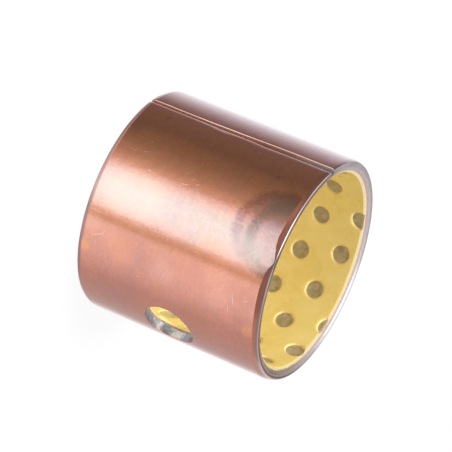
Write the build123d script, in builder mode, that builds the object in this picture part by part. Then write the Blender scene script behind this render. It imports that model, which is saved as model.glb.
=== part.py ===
"""A wrapped plain bush: a bonded steel, bronze and acetal strip rolled round until its ends meet.

The bush stands on one end. +Z runs along the bore, the origin is at the middle of the lower end
face, and the grease hole faces -Y. Sizes are in millimetres and angles in degrees.
"""

import os
from math import ceil, cos, degrees, hypot, pi, radians, sin, tan

from build123d import *

# The bonded strip, from the running surface outwards
bore_diameter = 30.0
lining_thickness = 0.4
bronze_thickness = 0.3
steel_thickness = 1.3
length = 30.0

# Both ends: a shallow lead-in outside, and a bevel in the bore that reaches into the steel
lead_in_length = 1.0
lead_in_angle = 20.0
bore_bevel_width = 1.0
bore_bevel_length = 0.65

# The butt seam, where the two ends of the strip meet
seam_angle = 150.0
seam_gap = 0.15
seam_corner_radius = 0.6

# The grease hole, punched through the whole wall
grease_hole_diameter = 8.0
grease_hole_angle = -90.0
grease_hole_height = 15.0

# The grease pockets: a staggered pattern pressed into the flat strip, turned against its edge.
# They are round; ten flats, each within 0.07 mm of the circle, keep their facets few.
pocket_diameter = 2.8
pocket_sides = 10
pocket_depth = 0.25
pocket_pitch = 6.55
pocket_row_turn = 16.0
first_pocket_from_seam = 1.0
first_pocket_below_top = 3.65

# Radii of the layers, from the running surface outwards
bore_radius = bore_diameter / 2
bronze_inner_radius = bore_radius + lining_thickness
steel_inner_radius = bronze_inner_radius + bronze_thickness
outside_radius = steel_inner_radius + steel_thickness
strip_width = 2 * pi * bore_radius

# The strip is laid out with its seam on the local +X axis
strip_plane = Plane.XY.rotated((0, 0, seam_angle))


def draw_layer_end(inner_radius, outer_radius):
    """Draw the end view of one layer in the open sketch: a ring, cut through at the butt seam."""
    Circle(outer_radius)
    Circle(inner_radius, mode=Mode.SUBTRACT)
    Rectangle(2 * outer_radius, seam_gap, align=(Align.MIN, Align.CENTER), mode=Mode.SUBTRACT)


def trim_ends():
    """Cut the open layer back to the wall's outline: the lead-ins and the bevels of the bore."""
    lead_in_depth = lead_in_length * tan(radians(lead_in_angle))
    corners = [
        (bore_radius + bore_bevel_width, 0),
        (outside_radius - lead_in_depth, 0),
        (outside_radius, lead_in_length),
        (outside_radius, length - lead_in_length),
        (outside_radius - lead_in_depth, length),
        (bore_radius + bore_bevel_width, length),
        (bore_radius, length - bore_bevel_length),
        (bore_radius, bore_bevel_length),
    ]
    with BuildSketch(Plane.XZ) as wall_outline:
        with BuildLine():
            Polyline(*corners, close=True)
        make_face()
    revolve(wall_outline.sketch, axis=Axis.Z, mode=Mode.INTERSECT)


def punch_grease_hole():
    """Punch the grease hole through the open layer, from the outside as far as the bush's axis."""
    outwards = Vector(1, 0, 0).rotate(Axis.Z, grease_hole_angle)
    middle = outwards * outside_radius + Vector(0, 0, grease_hole_height)
    with Locations(Plane(origin=middle, x_dir=(0, 0, 1), z_dir=outwards)):
        Hole(grease_hole_diameter / 2, depth=outside_radius)


def pocket_centres():
    """The pockets on the flat strip, as (distance along from the seam, height) pairs."""
    turns = (pocket_row_turn, pocket_row_turn + 60)
    along_row, across_row = [(cos(radians(turn)), sin(radians(turn))) for turn in turns]
    reach = ceil(hypot(strip_width, length) / pocket_pitch) + 1
    centres = []
    for row in range(-reach, reach):
        for place in range(-reach, reach):
            along = place * along_row[0] + row * across_row[0]
            up = place * along_row[1] + row * across_row[1]
            along = first_pocket_from_seam + along * pocket_pitch
            height = length - first_pocket_below_top + up * pocket_pitch
            if 0 < along < strip_width and 0 < height < length:
                centres.append((along, height))
    return centres


def pocket_floors():
    """The flat floors of the pockets on the rolled strip, each facing the bush's axis."""
    floors = []
    for along, height in pocket_centres():
        outwards = Vector(1, 0, 0).rotate(Axis.Z, seam_angle + degrees(along / bore_radius))
        middle = outwards * (bore_radius + pocket_depth) + Vector(0, 0, height)
        floors.append(Plane(origin=middle, x_dir=(0, 0, 1), z_dir=-outwards))
    return floors


# The steel backing carries the load, and the ends of its strip are rolled over at the seam
with BuildPart() as steel_backing:
    with BuildSketch(strip_plane):
        draw_layer_end(steel_inner_radius, outside_radius)
    extrude(amount=length)
    seam_mouth = Vector(outside_radius, 0, length / 2).rotate(Axis.Z, seam_angle)
    rolled_corners = steel_backing.edges().filter_by(Axis.Z).sort_by_distance(seam_mouth)[:2]
    fillet(rolled_corners, radius=seam_corner_radius)
    trim_ends()
    punch_grease_hole()
steel_backing.part.label = "steel_backing"

# The sintered bronze keys the lining to the steel
with BuildPart() as bronze_interlayer:
    with BuildSketch(strip_plane):
        draw_layer_end(bronze_inner_radius, steel_inner_radius)
    extrude(amount=length)
    trim_ends()
    punch_grease_hole()
bronze_interlayer.part.label = "bronze_interlayer"

# The acetal lining is the running surface, and its pockets leave a thin film over the bronze
with BuildPart() as acetal_lining:
    with BuildSketch(strip_plane):
        draw_layer_end(bore_radius, bronze_inner_radius)
    extrude(amount=length)
    trim_ends()
    punch_grease_hole()
    with BuildSketch(*pocket_floors()):
        RegularPolygon(pocket_diameter / 2, pocket_sides, rotation=180 / pocket_sides)
    extrude(amount=2 * pocket_depth, mode=Mode.SUBTRACT)
acetal_lining.part.label = "acetal_lining"

os.makedirs("parts", exist_ok=True)
for layer in (steel_backing, bronze_interlayer, acetal_lining):
    export_step(layer.part, f"parts/{layer.part.label}.step")
    print(layer.part.label, "volume", round(layer.part.volume, 1))
print("outside diameter", 2 * outside_radius, "pockets", len(pocket_centres()))
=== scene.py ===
# %% [markdown]
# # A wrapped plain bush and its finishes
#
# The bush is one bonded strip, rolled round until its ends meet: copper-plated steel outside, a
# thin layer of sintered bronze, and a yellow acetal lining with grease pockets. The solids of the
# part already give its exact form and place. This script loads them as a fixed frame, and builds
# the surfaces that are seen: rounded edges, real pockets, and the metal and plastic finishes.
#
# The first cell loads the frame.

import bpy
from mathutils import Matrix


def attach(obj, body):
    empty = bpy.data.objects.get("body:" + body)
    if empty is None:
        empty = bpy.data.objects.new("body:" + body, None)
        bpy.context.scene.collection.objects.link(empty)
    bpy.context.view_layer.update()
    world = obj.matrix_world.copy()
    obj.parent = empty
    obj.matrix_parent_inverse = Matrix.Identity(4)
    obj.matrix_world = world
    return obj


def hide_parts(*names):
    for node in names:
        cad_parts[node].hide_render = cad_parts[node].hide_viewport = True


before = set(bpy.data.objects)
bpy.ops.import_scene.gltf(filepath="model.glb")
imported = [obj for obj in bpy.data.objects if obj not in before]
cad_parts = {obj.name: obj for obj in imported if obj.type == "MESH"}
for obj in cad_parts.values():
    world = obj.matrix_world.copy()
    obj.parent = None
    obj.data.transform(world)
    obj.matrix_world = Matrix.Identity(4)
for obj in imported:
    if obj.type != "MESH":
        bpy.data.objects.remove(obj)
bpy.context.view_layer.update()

# %% [markdown]
# ## The sizes
#
# The sizes below repeat those of the part's source, in millimetres and degrees, and each mesh is
# scaled to metres once, at its end. The origin is in the middle of the lower end, +Z runs along
# the bore, and the grease hole faces -Y. Small roundings that a solid can do without, such as
# the lip of the lead-in, are sizes of this script alone.

# %% Name the sizes
from math import asin, atan2, cos, degrees, exp, hypot, pi, radians, sin, sqrt, tan

import bmesh
import bpy
from mathutils import Matrix, Vector, noise

MILLIMETRE = 0.001
TO_MILLIMETRES = (1 / MILLIMETRE,) * 3

bore_radius = 15.0
bronze_inner_radius = 15.4
steel_inner_radius = 15.7
outside_radius = 17.0
length = 30.0

lead_in_length = 1.0
lead_in_angle = 20.0
bore_bevel_width = 1.0
bore_bevel_length = 0.65

seam_angle = 150.0
seam_gap = 0.15
seam_roll_width = 1.08
seam_roll_depth = 0.68
seam_opening = 0.42
seam_edge_radius = 0.18

grease_hole_radius = 4.0
grease_hole_angle = -90.0
grease_hole_height = 15.0

pocket_depth = 0.25
pocket_pitch = 6.55
pocket_row_turn = 16.0
first_pocket_from_seam = 1.0
first_pocket_below_top = 3.65

lip_radius = 0.26
shoulder_radius = 1.2
hole_edge_radius = 0.12
hole_back_edge_radius = 0.02

strip_width = 2 * pi * bore_radius
print("strip width", round(strip_width, 2), "mm, rolled to", 2 * outside_radius, "mm outside")

# %% [markdown]
# ## The outline of the wall
#
# Cut through the wall and you see its outline: flat ends, a shallow lead-in that guides the bush
# into its housing, and a straight outside. On the real strip none of these meets in a knife
# edge. A fillet in the outline costs a few rows of faces, and gives each edge the thin bright
# line that makes metal look solid. The outline is drawn as rows of points (radius, height).

# %% Draw the outline of the steel wall
corner_steps = 4
end_face_step = 0.18


def rounded_corner(before, corner, after, radius):
    """The points of a fillet at a corner, from the side of before to the side of after."""
    before, corner, after = Vector(before), Vector(corner), Vector(after)
    first = (before - corner).normalized()
    second = (after - corner).normalized()
    half = first.angle(second) / 2
    middle = corner + (first + second).normalized() * (radius / sin(half))
    start = corner + first * (radius / tan(half)) - middle
    end = corner + second * (radius / tan(half)) - middle
    begins = atan2(start.y, start.x)
    sweep = (atan2(end.y, end.x) - begins + pi) % (2 * pi) - pi
    points = []
    for step in range(corner_steps + 1):
        angle = begins + sweep * step / corner_steps
        points.append((middle.x + radius * cos(angle), middle.y + radius * sin(angle)))
    return points


def bevel_height(radius):
    """How high above the lower end the bevel of the bore lies at a radius."""
    return bore_bevel_length * (1 - (radius - bore_radius) / bore_bevel_width)


lip = (outside_radius - lead_in_length * tan(radians(lead_in_angle)), 0.0)
shoulder = (outside_radius, lead_in_length)
foot = [(lip[0] - end_face_step, 0.0)]
foot += rounded_corner((bore_radius, 0.0), lip, shoulder, lip_radius)
foot += rounded_corner(lip, shoulder, (outside_radius, length), shoulder_radius)
foot_top = foot[-1][1]
print("lead-in rows:", [(round(r, 3), round(z, 3)) for r, z in foot])


# %% [markdown]
# ## A wall that can carry a round hole
#
# Each metal layer is a sheet of quads wrapped round the bore, once outside and once inside. A
# boolean would cut the grease hole too, but it leaves long thin faces that smudge reflections.
# Here a square patch of the sheet is left out instead, and filled with rings of quads that turn
# from the square into the circle. The grid is closer at the seam, where the strip's ends roll in.
#
# A real seam is never drawn with a ruler. One end of the strip is rolled over and was struck
# harder in two places; the other is nearly square and leans back towards the top. The lead-in was
# dressed by hand, so its length follows a short list of places round the top end.

# %% Lay out the columns and rows of the wall
patch_half_width = 5.5
patch_steps = 16
patch_turn = degrees(patch_half_width / outside_radius)
patch_foot = grease_hole_height - patch_half_width
patch_top = grease_hole_height + patch_half_width

first_turn = seam_angle - grease_hole_angle - 360
last_turn = first_turn + 360
near_seam = [0, 0.02, 0.06, 0.12, 0.2, 0.3, 0.42, 0.56, 0.72, 0.9, 1.1, 1.35, 1.7]
short_way_steps = 62
long_way_steps = 136
body_steps = 9
first_body_row = foot_top + 0.3


def spread(start, end, steps):
    """Even steps from start to end, without the end itself."""
    return [start + (end - start) * step / steps for step in range(steps)]


def column_turns():
    """Angles from the grease hole, from one side of the seam round to the other."""
    steps_in = [degrees((seam_gap / 2 + step) / outside_radius) for step in near_seam]
    turns = [first_turn + step for step in steps_in[:-1]]
    turns += spread(first_turn + steps_in[-1], -patch_turn, short_way_steps)
    turns += spread(-patch_turn, patch_turn, patch_steps)
    turns += spread(patch_turn, last_turn - steps_in[-1], long_way_steps)
    turns += [last_turn - step for step in reversed(steps_in)]
    return turns


def body_heights():
    """Heights of the rows between the two lead-ins."""
    last = length - first_body_row
    heights = spread(first_body_row, patch_foot, body_steps)
    heights += spread(patch_foot, patch_top, patch_steps)
    return heights + spread(patch_top, last, body_steps) + [last]


columns = column_turns()
heights = body_heights()
first_patch_column = columns.index(-patch_turn)
first_patch_row = len(foot) + heights.index(patch_foot)
print("wall grid:", len(columns), "columns,", len(heights) + 2 * len(foot), "rows")


# %% Dress the seam and the lead-ins
# Round the top end: (turn from the grease hole in degrees, share of the full lead-in).
top_dressing = [
    (-180, 0.90), (-160, 0.72), (-146, 0.42), (-122, 0.42), (-110, 0.74), (-98, 0.80),
    (-86, 0.82), (-78, 0.94), (-73, 1.0), (-69, 0.84), (-65, 0.46),
    (-62, 0.16), (-60, 0.18), (-57, 0.62), (-53, 0.90), (-45, 1.0), (-30, 0.90),
    (-18, 0.84), (20, 0.94), (180, 0.90),
]
# Along the rolled corner: (height, reach, how much wider), where it was struck harder.
struck_places = [(12.4, 1.6, 0.38), (19.8, 1.6, 0.32)]

low_lead_in_part = 0.62
dressing_wander = 0.07
roll_wander = 0.06
lean_wander = 0.04
lean_starts = 8.0
lean_full = 26.0
lean_reach = 3.0


def held(part):
    """A share, held between nought and one."""
    return min(max(part, 0.0), 1.0)


def eased(part):
    """A share from nought to one, with a soft start and end."""
    part = held(part)
    return part * part * (3 - 2 * part)


def between(points, at):
    """The value at a place on a list of (place, value) points, eased from one to the next."""
    for (first, low), (second, high) in zip(points, points[1:]):
        if at <= second:
            return low + (high - low) * eased((at - first) / (second - first))
    return points[-1][1]


def smooth_drop(distance, width, depth):
    """How far a rolled corner has fallen, this far in from the strip's end."""
    part = 1 - held(distance / width)
    return depth * (1 - sqrt(1 - part * part))


def lead_in_parts(turn):
    """How much of its full length the lead-in has below and above; hand dressing wanders."""
    wander = dressing_wander * noise.noise(Vector((turn / 9, 8.1, 0)))
    return low_lead_in_part + wander, between(top_dressing, (turn + 180) % 360 - 180)


def rolled_width(height):
    """How wide the rolled corner is at a height."""
    width = seam_roll_width + 0.004 * height
    width += roll_wander * noise.noise(Vector((3.1, 0, height / 4)))
    for middle, reach, more in struck_places:
        width += more * exp(-(((height - middle) / reach) ** 2))
    return width


def corner_drawn_back(height, distance):
    """How far the other end of the strip leans back from the seam at a height."""
    leaning = seam_opening * eased((height - lean_starts) / (lean_full - lean_starts))
    leaning += lean_wander * noise.noise(Vector((7.7, 0, height / 2.5)))
    return max(0.0, leaning) * max(0.0, 1 - distance / lean_reach)


print("top lead-in from", min(top_dressing, key=lambda spot: spot[1])[1], "of its full length")


# %% [markdown]
# ## Sheets, rings and a hole
#
# A sheet is a grid of points joined by quads. The patch round the grease hole is filled from its
# square border inwards: each ring of points is a little rounder than the last, and a small edge
# radius turns the last ones down into the hole. The wall of the hole is a few more rings.

# %% Place points, rings and the hole
# Steps across and up the patch, round its border from the lower corner after the hole.
ahead, back = range(patch_steps), range(patch_steps, 0, -1)
patch_border = [(patch_steps, up) for up in ahead] + [(across, patch_steps) for across in back]
patch_border += [(0, up) for up in back] + [(across, 0) for across in ahead]

flat_rings = 6
flat_ring_width = 0.10
edge_steps = 4
hole_wall_parts = (0.03, 0.25, 0.5, 0.75)


def place(radius, turn, height):
    """A point of the bush from its radius, its angle from the grease hole and its height."""
    angle = radians(grease_hole_angle + turn)
    return Vector((radius * cos(angle), radius * sin(angle), height))


def bridge(bm, first, second, ring=True):
    """Join two rows of as many points with quads; a ring is joined at its ends too."""
    for at in range(len(first) if ring else len(first) - 1):
        after = (at + 1) % len(first)
        bm.faces.new((first[at], first[after], second[after], second[at]))


def add_ring(bm, cut, previous, places, is_cut):
    """Join a ring to a new one, whose points are given as (radius, turn, height)."""
    ring = [bm.verts.new(place(*point)) for point in places]
    for vertex in ring:
        vertex[cut] = is_cut
    bridge(bm, previous, ring)
    return ring


def hole_place(at, radius, reach=grease_hole_radius):
    """Turn and height of a point round the grease hole, at a radius of the bush."""
    alpha = radians(-45 + 90 * at / patch_steps)
    return degrees(asin(reach * cos(alpha) / radius)), grease_hole_height + reach * sin(alpha)


def add_hole_patch(bm, cut, sheet, rows):
    """Fill the square patch of a sheet with rings that end at the edge of the grease hole."""
    ring = [sheet[first_patch_column + across][first_patch_row + up] for across, up in patch_border]
    surface_radius = rows[first_patch_row][0]
    outwards = 1 if surface_radius > (steel_inner_radius + outside_radius) / 2 else -1
    edge = hole_edge_radius if outwards > 0 else hole_back_edge_radius
    rings = [(edge + flat_ring_width, 0.0, part / flat_rings) for part in range(flat_rings)][::-1]
    for step in range(edge_steps + 1):
        quarter = pi / 2 * step / edge_steps
        rings.append((edge * (1 - sin(quarter)), edge * (1 - cos(quarter)), 0.0))
    for widening, sinking, towards_border in rings:
        radius = surface_radius - outwards * sinking
        places = []
        for at, (across, up) in enumerate(patch_border):
            turn, height = hole_place(at, radius, grease_hole_radius + widening)
            turn += (columns[first_patch_column + across] - turn) * towards_border
            height += (rows[first_patch_row + up][1] - height) * towards_border
            places.append((radius, turn, height))
        over_edge = sinking > 0.7 * edge or outwards < 0
        ring = add_ring(bm, cut, ring, places, float(over_edge))
    return ring, surface_radius - outwards * edge


def add_hole_wall(bm, cut, rims):
    """Join the two edges of the grease hole with a straight round wall."""
    (ring, outer_radius), (last_ring, inner_radius) = rims
    for part in hole_wall_parts:
        radius = outer_radius + (inner_radius - outer_radius) * part
        places = [(radius, *hole_place(at, radius)) for at in range(len(ring))]
        ring = add_ring(bm, cut, ring, places, 1.0)
    bridge(bm, ring, last_ring)


print("rings round the grease hole:", flat_rings + edge_steps + 1, "of", len(patch_border), "points")


# %% Build a layer of the wall
full_lead_in_mark = 0.05
rolled_side_dirt = 0.12
square_side_dirt = seam_edge_radius


def outside_point(turn, radius, body_radius, height, dressed):
    """Where a point of the outside goes, and its marks: groove and lead."""
    after_seam = radians(turn - first_turn) * outside_radius - seam_gap / 2
    before_seam = radians(last_turn - turn) * outside_radius - seam_gap / 2
    low_part, high_part = lead_in_parts(turn) if dressed else (1.0, 1.0)
    rolled, leaning = 0.0, 0.0
    if dressed:
        leaning = degrees(corner_drawn_back(height, before_seam) / outside_radius)
        rolled = smooth_drop(after_seam, rolled_width(height), seam_roll_depth)
        rolled += smooth_drop(before_seam, seam_edge_radius, seam_edge_radius)
    led_in = body_radius - radius
    if height <= foot_top:
        height *= low_part
        led_in *= low_part
    if height >= length - foot_top:
        height = length - (length - height) * high_part
        led_in *= high_part
    full_dirt = rolled_side_dirt if before_seam > after_seam else square_side_dirt
    groove = min(1.0, rolled / full_dirt) ** 2
    point = place(body_radius - hypot(rolled, led_in), turn - leaning, height)
    return point, groove, min(1.0, led_in / full_lead_in_mark)


def add_layer(bm, outside_rows, inside_rows, dressed):
    """Add one closed layer: two wrapped sheets joined at the ends, the seam and the hole."""
    cut, groove, lead = [bm.verts.layers.float.new(name) for name in ("cut", "groove", "lead")]
    body_radius = outside_rows[first_patch_row][0]
    outside, inside = [], []
    for turn in columns:
        at_seam = turn in (columns[0], columns[-1])
        outer_column, inner_column = [], []
        for (outer_r, outer_z), (inner_r, inner_z) in zip(outside_rows, inside_rows):
            point, dirt, lead_mark = outside_point(turn, outer_r, body_radius, outer_z, dressed)
            vertex = bm.verts.new(point)
            vertex[cut] = float(outer_z in (0, length))
            vertex[groove] = dirt
            vertex[lead] = lead_mark
            outer_column.append(vertex)
            vertex = bm.verts.new(place(inner_r, turn, inner_z))
            vertex[cut] = float(not (at_seam and dressed))
            vertex[groove] = 1.0
            inner_column.append(vertex)
        outside.append(outer_column)
        inside.append(inner_column)
    rims = []
    for sheet, rows in ((outside, outside_rows), (inside, inside_rows)):
        for at, (column, after) in enumerate(zip(sheet, sheet[1:])):
            parts = [slice(None)]
            if first_patch_column <= at < first_patch_column + patch_steps:
                parts = [slice(first_patch_row + 1), slice(first_patch_row + patch_steps, None)]
            for part in parts:
                bridge(bm, column[part], after[part], ring=False)
        rims.append(add_hole_patch(bm, cut, sheet, rows))
    for row in (0, -1):
        ends = [[column[row] for column in sheet] for sheet in (outside, inside)]
        bridge(bm, *ends, ring=False)
    for column in (0, -1):
        bridge(bm, outside[column], inside[column], ring=False)
    add_hole_wall(bm, cut, rims)


# %% Turn a finished shape into an object
sharp_angle = 25


def plain_mesh(bm, name):
    """Write a shape down as a mesh, and let the shape go."""
    mesh = bpy.data.meshes.new(name)
    bm.to_mesh(mesh)
    bm.free()
    return mesh


def add_object(name, data):
    """An object for a mesh, a lamp or a camera, in the scene's collection."""
    added = bpy.data.objects.new(name, data)
    bpy.context.scene.collection.objects.link(added)
    return added


def finish_mesh(bm, name, material):
    """Scale a closed shape to metres, point its faces outwards and make it an object."""
    bmesh.ops.recalc_face_normals(bm, faces=bm.faces[:])
    bmesh.ops.scale(bm, vec=(MILLIMETRE,) * 3, verts=bm.verts[:])
    open_edges = sum(len(edge.link_faces) != 2 for edge in bm.edges)
    print(name, len(bm.faces), "faces, open edges", open_edges)
    mesh = plain_mesh(bm, name)
    mesh.shade_smooth()
    mesh.set_sharp_from_angle(angle=radians(sharp_angle))
    mesh.materials.append(material)
    return add_object(name, mesh)


print("edges sharper than", sharp_angle, "degrees stay crisp")


# %% [markdown]
# ## Shader groups that follow the strip
#
# The marks on the bush belong to the flat strip: they were there before it was rolled. So one
# group turns a point of the object into a place on the strip, in millimetres: how far round from
# the seam, and how high. The other groups draw a mottle, fine drawn lines, a ragged stain and one
# short scratch on whatever vector they are given. Each is built once, and each material sets its
# own values. A stain or scratch is then one line in a list, which is easy to move and recolour.

# %% Help to write node trees
def feed(tree, socket, value):
    """Give a socket its value, or link it to the socket that makes the value."""
    if hasattr(value, "is_output"):
        tree.links.new(value, socket)
    else:
        socket.default_value = value


def add_node(tree, kind, *first, settings=None, **named):
    """A new node, as its outputs; values feed its first inputs, or by name with _ for a space."""
    node = tree.nodes.new(kind)
    for name, setting in (settings or {}).items():
        setattr(node, name, setting)
    for socket, value in zip(node.inputs, first):
        feed(tree, socket, value)
    for name, value in named.items():
        feed(tree, node.inputs[name.replace("_", " ")], value)
    return node.outputs


def math(tree, operation, *values, clamp=False):
    """A Math node, as a socket."""
    settings = {"operation": operation, "use_clamp": clamp}
    return add_node(tree, "ShaderNodeMath", *values, settings=settings)[0]


def distance_to(tree, value, middle):
    """How far a value lies from a middle, on whichever side."""
    return math(tree, "ABSOLUTE", math(tree, "SUBTRACT", value, middle))


def vector_math(tree, operation, *values):
    """A Vector Math node, as its two outputs Vector and Value."""
    return add_node(tree, "ShaderNodeVectorMath", *values, settings={"operation": operation})


def split(tree, vector):
    """The X, Y and Z of a vector."""
    return add_node(tree, "ShaderNodeSeparateXYZ", vector)


def join(tree, x, y, z=0.0):
    """A vector from its three parts, as a socket."""
    return add_node(tree, "ShaderNodeCombineXYZ", x, y, z)[0]


def map_range(tree, value, low, high, to_low=0.0, to_high=1.0):
    """A smooth Map Range node, as a socket."""
    node = add_node(tree, "ShaderNodeMapRange", value, low, high, to_low, to_high,
                    settings={"interpolation_type": "SMOOTHSTEP"})
    return node["Result"]


def noise_value(tree, vector, scale, detail=3.0, roughness=0.5):
    """A Noise Texture node, as a socket."""
    return add_node(tree, "ShaderNodeTexNoise", vector, Scale=scale, Detail=detail,
                    Roughness=roughness)["Fac"]


# %% Help to make and use groups
def new_group(name, inputs, outputs):
    """A shader group with inputs {name: default, None for a vector} and outputs {name: kind}."""
    tree = bpy.data.node_groups.new(name, "ShaderNodeTree")
    for title, default in inputs.items():
        kind = "NodeSocketVector" if default is None else "NodeSocketFloat"
        socket = tree.interface.new_socket(title, in_out="INPUT", socket_type=kind)
        if default is not None:
            socket.default_value = default
    for title, kind in outputs.items():
        tree.interface.new_socket(title, in_out="OUTPUT", socket_type="NodeSocket" + kind)
    given = tree.nodes.new("NodeGroupInput").outputs
    return tree, given, tree.nodes.new("NodeGroupOutput").inputs


def use_group(tree, group, **values):
    """Put a group in a material, as its outputs."""
    return add_node(tree, "ShaderNodeGroup", settings={"node_tree": group}, **values)


# %% The strip's own coordinates
def build_strip_group():
    """From object coordinates to the flat strip: round from the seam, and up, in millimetres."""
    tree, given, made = new_group("strip_coordinates", {"Object": None},
                                  {"Flat": "Vector", "Up": "Float"})
    turned = add_node(tree, "ShaderNodeMapping", given["Object"], Scale=TO_MILLIMETRES,
                      Rotation=(0, 0, radians(180 - seam_angle)))
    apart = split(tree, turned["Vector"])
    angle = math(tree, "ARCTAN2", apart["Y"], apart["X"])
    round_from_seam = math(tree, "MULTIPLY_ADD", angle, outside_radius, pi * outside_radius)
    feed(tree, made["Flat"], join(tree, round_from_seam, apart["Z"]))
    feed(tree, made["Up"], apart["Z"])
    return tree


strip_group = build_strip_group()
print("group:", strip_group.name)


# %% A mottle and fine drawn lines
def build_mottle_group():
    """A cloudy mask between a low and a high value of noise."""
    tree, given, made = new_group(
        "mottle", {"Vector": None, "Size": 1.0, "Low": 0.35, "High": 0.65},
        {"Mask": "Float", "Height": "Float"})
    scale = math(tree, "DIVIDE", 1.0, given["Size"])
    value = noise_value(tree, given["Vector"], scale, 4.0, 0.6)
    feed(tree, made["Mask"], map_range(tree, value, given["Low"], given["High"]))
    feed(tree, made["Height"], value)
    return tree


def build_line_group():
    """Fine drawn lines: noise stretched along the bush, thinned to separate strokes."""
    tree, given, made = new_group(
        "drawn_lines", {"Vector": None, "Spacing": 0.3, "Length": 8.0, "Amount": 0.6},
        {"Mask": "Float"})
    apart = split(tree, given["Vector"])
    across = math(tree, "DIVIDE", apart["X"], given["Spacing"])
    along = math(tree, "DIVIDE", apart["Y"], given["Length"])
    value = noise_value(tree, join(tree, across, along), 1.0, 2.0)
    edge = math(tree, "SUBTRACT", 1.0, given["Amount"])
    feed(tree, made["Mask"], map_range(tree, value, edge, math(tree, "ADD", edge, 0.12)))
    return tree


mottle_group = build_mottle_group()
line_group = build_line_group()
print("groups:", mottle_group.name, line_group.name)


# %% A ragged stain and one short scratch
def build_stain_group():
    """A ragged stain: a ring round a centre, or a spot when the radius is nought."""
    tree, given, made = new_group(
        "stain", {"Vector": None, "Centre": None, "Radius": 0.0, "Core": 0.0, "Width": 1.0,
                  "Raggedness": 0.5}, {"Mask": "Float"})
    away = vector_math(tree, "DISTANCE", given["Vector"], given["Centre"])["Value"]
    rough = math(tree, "SUBTRACT", noise_value(tree, given["Vector"], 0.7, 6.0, 0.62), 0.5)
    rough = math(tree, "MULTIPLY", rough, given["Raggedness"])
    off_ring = distance_to(tree, math(tree, "ADD", rough, away), given["Radius"])
    mask = map_range(tree, off_ring, given["Core"], given["Width"], 1.0, 0.0)
    flecks = map_range(tree, noise_value(tree, given["Vector"], 2.2), 0.3, 0.65, 0.6, 1.1)
    feed(tree, made["Mask"], math(tree, "MULTIPLY", mask, flecks, clamp=True))
    return tree


def build_stroke_group():
    """One short scratch: a thin line through a point, with tapered ends."""
    tree, given, made = new_group(
        "stroke", {"Vector": None, "Middle": None, "Turn": 0.0, "Length": 2.0, "Width": 0.1},
        {"Mask": "Float"})
    moved = vector_math(tree, "SUBTRACT", given["Vector"], given["Middle"])["Vector"]
    turned = add_node(tree, "ShaderNodeVectorRotate", moved, Angle=given["Turn"],
                      settings={"rotation_type": "Z_AXIS"})["Vector"]
    apart = split(tree, turned)
    bend = noise_value(tree, given["Vector"], 0.8, 2.0)
    bend = distance_to(tree, math(tree, "MULTIPLY_ADD", bend, 0.5, apart["Y"]), 0.25)
    thin = map_range(tree, bend, 0.0, given["Width"], 1.0, 0.0)
    along = math(tree, "ABSOLUTE", apart["X"])
    half = math(tree, "MULTIPLY", given["Length"], 0.5)
    taper = map_range(tree, along, math(tree, "MULTIPLY", half, 0.4), half, 1.0, 0.0)
    feed(tree, made["Mask"], math(tree, "MULTIPLY", thin, taper))
    return tree


stain_group = build_stain_group()
stroke_group = build_stroke_group()
print("groups:", [group.name for group in bpy.data.node_groups])


# %% [markdown]
# ## The copper plating
#
# The plating is thin and bright, so the outside is a metal with a low roughness, and its colour
# comes mostly from what it reflects. A metal is never even: the plating bath leaves clouds, the
# sizing tool leaves fine lines along the bush, and fingers and heat leave a grey smudge near one
# end. Where the strip was cut, the steel shows bare. Some light is painted into the colour too:
# paler and darker patches under the highlight, a bright line along the seam and the lip, a near
# white side of the end faces, and bright and dark bands in the grease hole. Three attributes of
# the mesh say where a finish goes: cut is bare steel, groove is the dirty side of the seam and
# also places its painted highlight, lead is the lead-in. They are better than masks from
# positions, because they move with the shape when a size changes.

# %% Start a material
def new_material(name):
    """A material with its tree, its Principled shader and its object coordinates."""
    material = bpy.data.materials.new(name)
    material.use_nodes = True
    tree = material.node_tree
    shader = tree.nodes["Principled BSDF"].inputs
    return material, tree, shader, add_node(tree, "ShaderNodeTexCoord")["Object"]


def ramp(tree, factor, *stops):
    """A Color Ramp node with stops of (place, red, green, blue), as a socket."""
    node = tree.nodes.new("ShaderNodeValToRGB")
    elements = node.color_ramp.elements
    while len(elements) < len(stops):
        elements.new(0.5)
    for element, (position, *colour) in zip(elements, stops):
        element.position = position
        element.color = (*colour, 1)
    feed(tree, node.inputs["Fac"], factor)
    return node.outputs["Color"]


def mix_colour(tree, factor, first, second, blend="MIX"):
    """A Mix node for colours, as a socket."""
    settings = {"data_type": "RGBA", "blend_type": blend}
    return add_node(tree, "ShaderNodeMix", settings=settings, Factor=factor, A=first,
                    B=second)["Result"]


def tinted(tree, colour, tint, mask, part=1.0):
    """A colour with a plain tint laid over it where the mask is, as strongly as part says."""
    if part < 1:
        mask = math(tree, "MULTIPLY", mask, part)
    return mix_colour(tree, mask, colour, (*tint, 1))


def bump(tree, height, strength, distance):
    """A Bump node from a height, as a socket; distance is in metres."""
    return add_node(tree, "ShaderNodeBump", Strength=strength, Distance=distance,
                    Height=height)["Normal"]


def attribute(tree, name):
    """A vertex attribute of the mesh, as a socket."""
    return add_node(tree, "ShaderNodeAttribute", settings={"attribute_name": name})["Fac"]


# %% Find the sides and the ends of the bush
middle_height = length / 2 * MILLIMETRE
end_band = 0.0142


def facing(tree, coordinates, direction):
    """How far a point lies from the bush's axis in one direction, in metres."""
    return vector_math(tree, "DOT_PRODUCT", coordinates, direction)["Value"]


def round_reach(tree, coordinates):
    """The distance of a point from the bush's axis, in metres."""
    flattened = vector_math(tree, "MULTIPLY", coordinates, (1, 1, 0))["Vector"]
    return vector_math(tree, "LENGTH", flattened)["Value"]


def at_end(tree, coordinates):
    """One within the band at either end, nought between the two."""
    off_middle = distance_to(tree, split(tree, coordinates)["Z"], middle_height)
    return math(tree, "GREATER_THAN", off_middle, end_band)


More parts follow.
